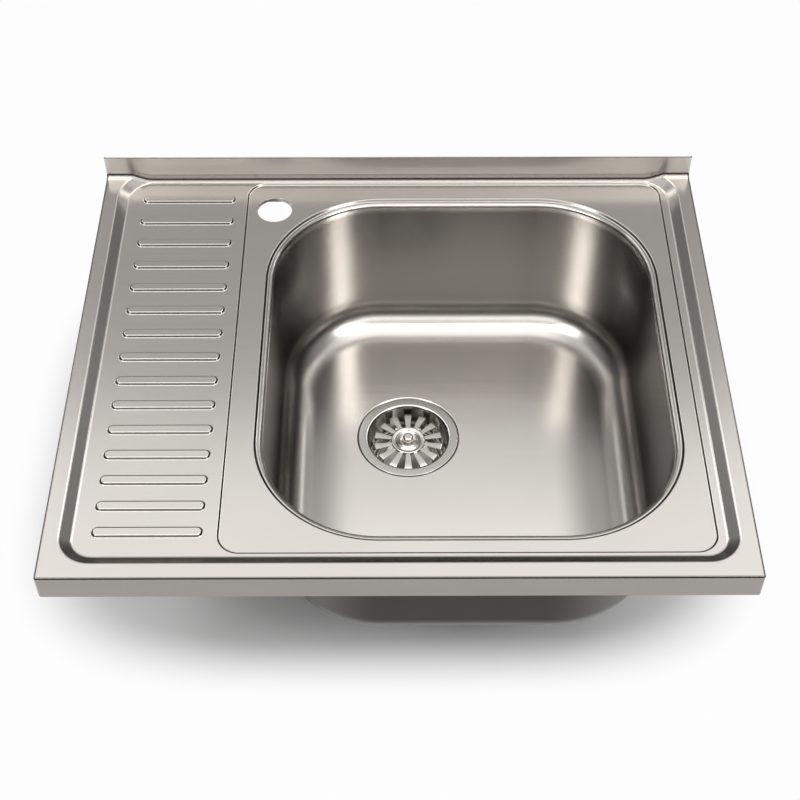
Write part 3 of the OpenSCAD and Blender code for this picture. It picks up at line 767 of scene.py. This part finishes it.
def make_knob():
    """The small turned knob, with a waist under its head."""
    low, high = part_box("basket_knob")
    base, top = low[2], high[2]
    neck, head, neck_h, band_h = 0.0043, 0.0057, 0.0016, 0.0008
    knob = disc("basket_pull", WASTE_X, WASTE_Y, base, neck, 48)
    press([(0, base), (0, base + neck_h)])
    bpy.ops.transform.resize(value=(head / neck,) * 2 + (1,), center_override=(WASTE_X, WASTE_Y, 0))
    shoulder = base + neck_h + band_h
    press(
        [(0, base + neck_h), (0, shoulder)]
        + [
            (0.0030 * (1 - math.cos(t)), shoulder + (top - shoulder) * math.sin(t))
            for t in quarter(6)[1:]
        ]
        + [(0.0046, top - 0.0001), (0.0048, top - 0.0004), (0.0050, top - 0.0005)]
    )
    pick(knob, "EDGE", lambda e: e.is_boundary)
    bpy.ops.mesh.edge_face_add()
    bpy.ops.mesh.select_mode(type="FACE")
    bpy.ops.mesh.select_all(action="SELECT")
    bpy.ops.mesh.normals_make_consistent(inside=False)
    finish(knob)
    return knob


# Finishes


def add(tree, kind, inputs=(), **settings):
    """Adds a shader node. Its inputs take numbers, colours or the outputs of other nodes."""
    made = tree.nodes.new("ShaderNode" + kind)
    for key, value in settings.items():
        setattr(made, key, value)
    for key, value in dict(inputs).items():
        if isinstance(value, bpy.types.NodeSocket):
            tree.links.new(value, made.inputs[key])
        else:
            made.inputs[key].default_value = value
    return made


def maths(tree, operation, *values):
    """The result of an operation on numbers or outputs."""
    return add(tree, "Math", enumerate(values), operation=operation).outputs["Value"]


def ranged(tree, value, start, end, low=0, high=1, smooth=True):
    """Carries a value over from the range start to end into the range low to high."""
    kind = "SMOOTHSTEP" if smooth else "LINEAR"
    ends = {"From Min": start, "From Max": end, "To Min": low, "To Max": high}
    made = add(tree, "MapRange", {"Value": value, **ends}, interpolation_type=kind)
    return made.outputs["Result"]


def ramp(tree, value, stops, smooth=True):
    """A grey that follows a value through stops (position, grey)."""
    made = add(tree, "ValToRGB", {"Fac": value})
    made.color_ramp.interpolation = "EASE" if smooth else "LINEAR"
    marks = made.color_ramp.elements
    marks[0].position, marks[1].position = stops[0][0], stops[1][0]
    for position, _ in stops[2:]:
        marks.new(position)
    for mark, (_, grey) in zip(marks, stops):
        mark.color = (grey, grey, grey, 1)
    return made.outputs["Color"]


def axes_of(tree, vector):
    """The X, Y and Z of a vector."""
    return add(tree, "SeparateXYZ", {"Vector": vector}).outputs


def new_material(name):
    """A material, its node tree and its shader."""
    made = bpy.data.materials.new(name)
    made.use_nodes = True
    return made, made.node_tree, made.node_tree.nodes["Principled BSDF"]


def two_tones(tree, tone, contrast, share):
    """A colour that wanders a little to both sides of a tone."""
    darker = (*(c * (1 - contrast) for c in tone), 1)
    lighter = (*(min(c * (1 + contrast), 1) for c in tone), 1)
    made = add(tree, "Mix", data_type="RGBA")
    tree.links.new(share, made.inputs["Factor"])
    made.inputs["A"].default_value = darker
    made.inputs["B"].default_value = lighter
    return made.outputs["Result"]


def dress(tree, shader, colour, grain, roughness, give, strength, depth):
    """Gives a shader its colour, and a grain in its roughness and its bump."""
    rough = ranged(tree, grain, 0, 1, roughness - give, roughness + give, False)
    bump = add(tree, "Bump", {"Height": grain, "Strength": strength, "Distance": depth})
    tree.links.new(colour, shader.inputs["Base Color"])
    tree.links.new(rough, shader.inputs["Roughness"])
    tree.links.new(bump.outputs["Normal"], shader.inputs["Normal"])


def make_steel(name, tone, roughness, grain, along, shade=None):
    """Brushed steel: fine scratches along one direction in the roughness and the bump.
    shade(tree, place) may give a value that darkens the tone from place to place, as painted light
    and shade."""
    made, tree, shader = new_material(name)
    shader.inputs["Metallic"].default_value = 1
    place = add(tree, "TexCoord").outputs["Object"]
    stretched = add(tree, "Mapping", {"Vector": place, "Scale": along}).outputs["Vector"]
    scratches = add(
        tree, "TexNoise", {"Vector": stretched, "Scale": 1, "Detail": 4, "Roughness": 0.65}
    ).outputs["Fac"]
    clouds = add(tree, "TexNoise", {"Vector": place, "Scale": 9, "Detail": 3}).outputs["Fac"]
    both = maths(tree, "MULTIPLY_ADD", scratches, 0.6, clouds)
    colour = two_tones(tree, tone, 0.03, ranged(tree, both, 0.5, 1.1, smooth=False))
    if shade:
        darker = add(tree, "VectorMath", operation="SCALE")
        tree.links.new(colour, darker.inputs[0])
        tree.links.new(shade(tree, place), darker.inputs["Scale"])
        colour = darker.outputs["Vector"]
    dress(tree, shader, colour, scratches, roughness, grain, 0.03, 0.0001)
    return made


def painted_edge_light(tree, place):
    """Painted light and shade on the pressing: its rounded edges are painted as bright highlight
    lines, and its slopes and upright faces are painted darker as shade.
    """
    normal = add(tree, "NewGeometry").outputs["Normal"]
    level = maths(tree, "ABSOLUTE", axes_of(tree, normal)["Z"])
    edge_light_and_shade = ramp(
        tree,
        level,
        (
            (0, 0.44),
            (0.15, 0.44),
            (0.25, 0.14),
            (0.74, 0.14),
            (0.8, 0.4),
            (0.9, 0.42),
            (0.95, 1),
            (0.985, 1),
            (0.9995, 0.62),
            (1, 0.62),
        ),
        False,
    )
    # Painted shade: the outer fold between border and skirt is painted as a dark outline
    axes = axes_of(tree, place)
    wide = maths(tree, "ABSOLUTE", axes["X"])
    sides = ranged(tree, wide, RIGHT - 0.0022, RIGHT - 0.0012, smooth=False)
    front = ranged(tree, axes["Y"], FRONT + 0.0022, FRONT + 0.0012, smooth=False)
    turned = ranged(tree, level, 0.15, 0.3, smooth=False)
    fold = maths(tree, "MULTIPLY", maths(tree, "MAXIMUM", sides, front), turned)
    return maths(tree, "MULTIPLY", edge_light_and_shade, ranged(tree, fold, 0, 1, 1, 0.25, False))


def painted_bowl_shade(tree, place):
    """Painted shade in the bowl: its walls are painted darker than the floor and the rim."""
    axes = axes_of(tree, place)
    level = ranged(tree, axes["Z"], FLOOR_Z, BORDER_Z, smooth=False)
    height = ramp(tree, level, ((0.05, 1), (0.19, 0.31), (0.88, 0.31), (0.93, 0.85)))
    # Painted shade: the floor is painted darker towards the side walls
    half = (BOWL[1] - BOWL[0]) / 2
    centre = (BOWL[0] + BOWL[1]) / 2 - 0.006
    far = maths(tree, "ABSOLUTE", maths(tree, "SUBTRACT", axes["X"], centre))
    band = ((half - 0.085, 1), (half - 0.045, 0.5), (half - 0.014, 0.5), (half - 0.006, 1))
    inside = maths(tree, "MINIMUM", height, ramp(tree, far, band))
    # Painted shade: what is darkened already is darker still at the side walls
    sides = ranged(tree, far, half - 0.042, half - 0.012, 0, 0.28)
    more = maths(tree, "MULTIPLY", maths(tree, "SUBTRACT", 1, inside), sides)
    inside = maths(tree, "SUBTRACT", inside, more)
    # Painted shade: the outside is painted dark, darkest in the middle of its front
    across = ranged(tree, far, half - 0.11, half - 0.05, 0.06, 0.13)
    outside = maths(tree, "ADD", across, ranged(tree, axes["Y"], -0.16, -0.08, 0, 0.2))
    back = add(tree, "Attribute", attribute_name="back").outputs["Fac"]
    return add(tree, "Mix", {"Factor": back, "A": inside, "B": outside}).outputs["Result"]


def make_dull(name, tone, roughness, scale, depth, metal=0, contrast=0.15):
    """A dull surface with a fine uneven skin, for rubber, plastic, brass and zinc."""
    made, tree, shader = new_material(name)
    shader.inputs["Metallic"].default_value = metal
    place = add(tree, "TexCoord").outputs["Object"]
    skin = add(tree, "TexNoise", {"Vector": place, "Scale": scale, "Detail": 5}).outputs["Fac"]
    colour = two_tones(tree, tone, contrast, skin)
    dress(tree, shader, colour, skin, roughness, 0.08, 0.3, depth)
    return made


def coat(piece, material):
    """Gives every face of a piece one material."""
    piece.data.materials.clear()
    piece.data.materials.append(material)


# Stage


def make_camera():
    """The camera that matches the photograph."""
    data = bpy.data.cameras.new("camera")
    data.lens = 68.3
    data.sensor_width = 36
    data.clip_end = 20
    camera = bpy.data.objects.new("camera", data)
    camera.location = (-0.003, -0.949, 1.062)
    camera.rotation_euler = [math.radians(a) for a in (40.73, -0.03, -0.21)]
    bpy.context.scene.collection.objects.link(camera)
    bpy.context.scene.camera = camera


def make_floor():
    """A pale floor that takes the shadow, and is plain white further out."""
    bpy.ops.object.select_all(action="DESELECT")
    bpy.ops.mesh.primitive_plane_add(size=8, location=(0, 0, LOWEST - 0.0002))
    floor = bpy.context.object
    floor.name = "floor"
    made, tree, shader = new_material("pale_floor")
    shader.inputs["Base Color"].default_value = (0.57, 0.57, 0.57, 1)
    shader.inputs["Roughness"].default_value = 0.9
    shader.inputs["Specular IOR Level"].default_value = 0
    # It is plain white outside a rounded box about the sink
    place = add(tree, "TexCoord").outputs["Object"]
    box = {"Vector": place, "Location": (0.03, -0.32, 0), "Scale": (2.5, 3.17, 0)}
    spot = add(tree, "Mapping", box).outputs["Vector"]
    square = add(tree, "VectorMath", {0: spot, 1: spot}, operation="MULTIPLY").outputs["Vector"]
    fourth = add(tree, "VectorMath", {0: square, 1: square}, operation="DOT_PRODUCT")
    reach = maths(tree, "POWER", fourth.outputs["Value"], 0.25)
    outside = ranged(tree, reach, 0.78, 1)
    # Mirrored in the steel, the floor in front is grey
    behind = ranged(tree, axes_of(tree, place)["Y"], -0.4, -0.325)
    rays = add(tree, "LightPath").outputs
    mirrored = maths(tree, "MAXIMUM", rays["Is Glossy Ray"], rays["Is Transmission Ray"])
    mirrored = maths(tree, "MULTIPLY", mirrored, behind)
    seen = maths(tree, "MAXIMUM", mirrored, rays["Is Camera Ray"])
    share = maths(tree, "MULTIPLY", seen, outside)
    white = add(tree, "Emission", {"Color": (0.985, 0.985, 0.985, 1)}).outputs["Emission"]
    above = add(tree, "MixShader", {"Fac": share, 1: shader.outputs["BSDF"], 2: white})
    # From below it is clear, so that it hides nothing
    below = add(tree, "NewGeometry").outputs["Backfacing"]
    clear = add(tree, "BsdfTransparent").outputs["BSDF"]
    sides = add(tree, "MixShader", {"Fac": below, 1: above.outputs["Shader"], 2: clear})
    tree.links.new(sides.outputs["Shader"], tree.nodes["Material Output"].inputs["Surface"])
    coat(floor, made)


def make_lamps():
    """A wide soft box overhead, two strips in front, two bright boxes at the front's sides
    and two small ones behind."""
    for name, place, aim, width, depth, glow in (
        ("top_lamp", (0, 0.3, 2.4), (0, 0.3, 0), 3.4, 3.2, 0.85),
        ("strip_lamp", (0, -1.2, 2.35), (0, 0, 0), 2.2, 0.5, 2.5),
        ("front_lamp", (0, -2.2, 1.4), (0, 0, 0), 2.6, 0.6, 1.3),
        ("front_left_lamp", (-1.5, -1.3, 2.1), (0, 0, 0), 0.8, 1.4, 9),
        ("front_right_lamp", (1.5, -1.3, 2.1), (0, 0, 0), 0.8, 1.4, 9),
        ("back_left_lamp", (-1.48, 1.96, 2.1), (0, 0, 0), 0.4, 0.5, 4),
        ("back_right_lamp", (1.48, 1.96, 2.1), (0, 0, 0), 0.4, 0.5, 4),
    ):
        data = bpy.data.lights.new(name, "AREA")
        data.shape = "RECTANGLE"
        data.size, data.size_y = width, depth
        data.energy = glow * math.pi * width * depth
        lamp = bpy.data.objects.new(name, data)
        lamp.location = place
        lamp.rotation_euler = (Vector(aim) - Vector(place)).to_track_quat("-Z", "Y").to_euler()
        bpy.context.scene.collection.objects.link(lamp)


def make_world():
    """A room that is dim at eye level and lighter above, and plain white to the camera."""
    world = bpy.data.worlds.new("world")
    world.use_nodes = True
    tree = world.node_tree
    up = axes_of(tree, add(tree, "TexCoord").outputs["Generated"])["Z"]
    glow = ranged(tree, up, 0.1, 0.75, 0.1, 0.52)
    camera_ray = add(tree, "LightPath").outputs["Is Camera Ray"]
    seen = add(tree, "Mix", {"Factor": camera_ray, "A": glow, "B": 1})
    background = tree.nodes["Background"]
    tree.links.new(seen.outputs["Result"], background.inputs["Strength"])
    background.inputs["Color"].default_value = (0.985, 0.985, 0.985, 1)
    bpy.context.scene.world = world


# Operators


class SINK_OT_stage(bpy.types.Operator):
    """Sets the camera, the floor, the lamps and the world"""

    bl_idname = "sink.stage"
    bl_label = "Stage"

    def execute(self, context):
        context.scene.view_settings.view_transform = "Standard"
        make_camera()
        make_world()
        make_floor()
        make_lamps()
        return {"FINISHED"}


class SINK_OT_deck(bpy.types.Operator):
    """Presses and folds the deck"""

    bl_idname = "sink.deck"
    bl_label = "Deck"

    def execute(self, context):
        deck = make_deck(context.scene.sink_deck)
        look = context.scene.sink_look
        brushed = (5, 600, 600)
        # The deck steel carries painted edge light and shade
        coat(deck, make_steel("deck_steel", look.deck, look.roughness, 0.03, brushed, painted_edge_light))
        # The upstand is brushed more coarsely, and is a lighter copy of the deck's steel without its
        # painted edge light and shade, as painted light
        upstand = make_steel("upstand_lit_steel", look.upstand, 0.3, 0.04, (5, 500, 500))
        deck.data.materials.append(upstand)
        # The hem along its top keeps the deck steel, whose painted light and shade draw a dark line
        # along it
        foot_z, crown_z = BORDER_Z + 0.0035, TOP - 0.0008
        for face in deck.data.polygons:
            face.material_index = int(foot_z < face.center.z < crown_z)
        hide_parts("deck", "upstand")
        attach(deck, "sink")
        return {"FINISHED"}


class SINK_OT_bowl(bpy.types.Operator):
    """Draws the bowl and its seat for the waste"""

    bl_idname = "sink.bowl"
    bl_label = "Bowl"

    def execute(self, context):
        bowl = make_bowl(context.scene.sink_bowl, context.scene.sink_deck)
        tone = context.scene.sink_look.bowl
        # The bowl steel carries painted shade on its walls, at the sides of its floor and outside
        coat(bowl, make_steel("bowl_steel", tone, 0.25, 0.03, (5, 600, 600), painted_bowl_shade))
        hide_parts("bowl")
        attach(bowl, "sink")
        return {"FINISHED"}


class SINK_OT_waste(bpy.types.Operator):
    """Makes the rim and cup of the waste"""

    bl_idname = "sink.waste"
    bl_label = "Waste"

    def execute(self, context):
        cup = make_cup(context.scene.sink_waste)
        tone = context.scene.sink_look.waste
        # The cup takes the same painted edge light and shade as the deck
        coat(cup, make_steel("waste_steel", tone, 0.2, 0.03, (90, 90, 90), painted_edge_light))
        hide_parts("waste_flange")
        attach(cup, "sink")
        return {"FINISHED"}


class SINK_OT_basket(bpy.types.Operator):
    """Makes the strainer basket and its knob"""

    bl_idname = "sink.basket"
    bl_label = "Basket"

    def execute(self, context):
        tone = context.scene.sink_look.basket
        steel = make_steel("basket_steel", tone, 0.24, 0.03, (90, 90, 90))
        basket = make_basket(context.scene.sink_waste)
        coat(basket, steel)
        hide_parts("strainer_basket")
        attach(basket, "basket")
        knob = make_knob()
        coat(knob, steel)
        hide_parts("basket_knob")
        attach(knob, "stopper")
        return {"FINISHED"}


class SINK_OT_finishes(bpy.types.Operator):
    """Gives the carried-over pieces their materials"""

    bl_idname = "sink.finishes"
    bl_label = "Finishes"

    def execute(self, context):
        zinc = make_dull("galvanised", (0.55, 0.57, 0.58), 0.42, 60, 0.0001, 1, 0.12)
        rubber = make_dull("rubber", (0.025, 0.025, 0.026), 0.6, 300, 0.0001)
        damping = make_dull("damping", (0.11, 0.11, 0.115), 0.8, 180, 0.0003)
        plastic = make_dull("body_plastic", (0.72, 0.72, 0.70), 0.45, 220, 0.00005, 0, 0.03)
        brass = make_dull("brass", (0.72, 0.50, 0.22), 0.32, 140, 0.00005, 1, 0.08)
        tone = context.scene.sink_look.plain
        steel = make_steel("plain_steel", tone, 0.3, 0.04, (120, 120, 120))
        finishes = {
            "tap_ring": zinc,
            "drainer_channel": zinc,
            "bracket_front_left": zinc,
            "bracket_front_right": zinc,
            "bracket_rear_left": zinc,
            "bracket_rear_right": zinc,
            "bowl_pad": damping,
            "flange_gasket": rubber,
            "body_gasket": rubber,
            "basket_plug": rubber,
            "waste_body": plastic,
            "stem_foot": plastic,
            "thread_insert": brass,
            "plug_nut": brass,
            "centre_screw": steel,
            "basket_stem": steel,
            "plug_disc": steel,
        }
        for node, material in finishes.items():
            coat(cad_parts[node], material)
        return {"FINISHED"}


class SINK_PT_panel(bpy.types.Panel):
    """Lists the sizes and the steps"""

    bl_idname = "SINK_PT_panel"
    bl_label = "Kitchen sink"
    bl_space_type = "VIEW_3D"
    bl_region_type = "UI"
    bl_category = "Sink"

    def draw(self, context):
        layout = self.layout
        scene = context.scene
        for group in (scene.sink_deck, scene.sink_bowl, scene.sink_waste, scene.sink_look):
            box = layout.box()
            for key in group.__annotations__:
                box.prop(group, key)
        for step in STEPS:
            layout.operator(step.bl_idname)


STEPS = (
    SINK_OT_stage,
    SINK_OT_deck,
    SINK_OT_bowl,
    SINK_OT_waste,
    SINK_OT_basket,
    SINK_OT_finishes,
)
CLASSES = (DeckSizes, BowlSizes, WasteSizes, SteelLook, *STEPS, SINK_PT_panel)


def register():
    for each in CLASSES:
        bpy.utils.register_class(each)
    bpy.types.Scene.sink_deck = bpy.props.PointerProperty(type=DeckSizes)
    bpy.types.Scene.sink_bowl = bpy.props.PointerProperty(type=BowlSizes)
    bpy.types.Scene.sink_waste = bpy.props.PointerProperty(type=WasteSizes)
    bpy.types.Scene.sink_look = bpy.props.PointerProperty(type=SteelLook)


def unregister():
    del bpy.types.Scene.sink_look
    del bpy.types.Scene.sink_waste
    del bpy.types.Scene.sink_bowl
    del bpy.types.Scene.sink_deck
    for each in reversed(CLASSES):
        bpy.utils.unregister_class(each)


def main():
    register()
    bpy.ops.sink.stage()
    bpy.ops.sink.deck()
    bpy.ops.sink.bowl()
    bpy.ops.sink.waste()
    bpy.ops.sink.basket()
    bpy.ops.sink.finishes()


if __name__ == "__main__":
    main()
